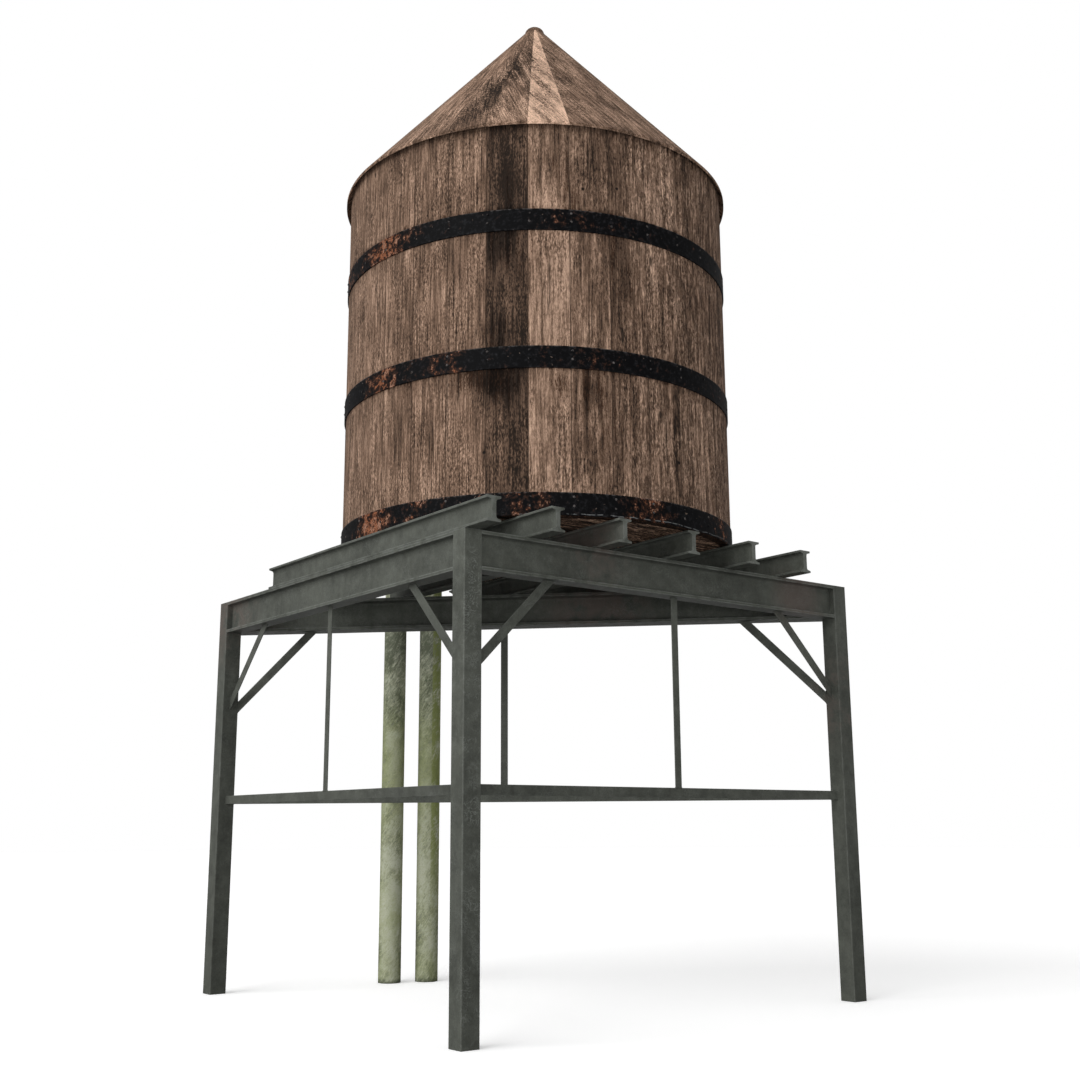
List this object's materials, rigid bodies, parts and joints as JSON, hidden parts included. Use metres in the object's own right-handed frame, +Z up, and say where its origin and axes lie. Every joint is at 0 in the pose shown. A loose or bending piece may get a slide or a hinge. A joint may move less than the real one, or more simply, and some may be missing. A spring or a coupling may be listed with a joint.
{
  "type": "wooden water tower",
  "caption": "Round wooden water tank with iron hoops and a conical board roof, on a steel frame of three legs, beams and joists, with riser pipes behind.",
  "frame": {"origin": "on the ground, under the middle of the whole tower's bounding box", "axes": "+Z up; +X from the front leg to the right leg; +Y from the front leg to the left leg"},
  "size_m": [4.498, 4.841, 9.672],
  "materials": {
    "painted_steel": "weathered dark grey green paint, matt",
    "tank_wood": "weathered grey brown staves",
    "roof_wood": "weathered boards",
    "hoop_iron": "black iron with rust",
    "stained_pipe": "pale olive, stained"
  },
  "bodies": {
    "root": {"front_leg": "painted_steel", "left_leg": "painted_steel", "right_leg": "painted_steel", "front_left_beam": "painted_steel", "front_right_beam": "painted_steel", "back_beam": "painted_steel", "joist_1": "painted_steel", "joist_2": "painted_steel", "joist_3": "painted_steel", "joist_4": "painted_steel", "joist_5": "painted_steel", "joist_6": "painted_steel", "front_left_rail": "painted_steel", "front_right_rail": "painted_steel", "back_rail": "painted_steel", "front_left_hanger": "painted_steel", "front_right_hanger": "painted_steel", "back_hanger": "painted_steel", "front_leg_front_left_brace": "painted_steel", "left_leg_front_left_brace": "painted_steel", "front_leg_front_right_brace": "painted_steel", "right_leg_front_right_brace": "painted_steel", "left_leg_back_brace": "painted_steel", "right_leg_back_brace": "painted_steel", "wall_segment_1": "tank_wood", "wall_segment_2": "tank_wood", "wall_segment_3": "tank_wood", "wall_segment_4": "tank_wood", "wall_segment_5": "tank_wood", "wall_segment_6": "tank_wood", "wall_segment_7": "tank_wood", "wall_segment_8": "tank_wood", "tank_floor": "tank_wood", "roof_quarter_1": "roof_wood", "roof_quarter_2": "roof_wood", "roof_quarter_3": "roof_wood", "roof_quarter_4": "roof_wood", "roof_cap": "roof_wood", "lower_hoop": "hoop_iron", "middle_hoop": "hoop_iron", "upper_hoop": "hoop_iron", "left_riser_pipe": "stained_pipe", "right_riser_pipe": "stained_pipe"}
  },
  "joints": []
}
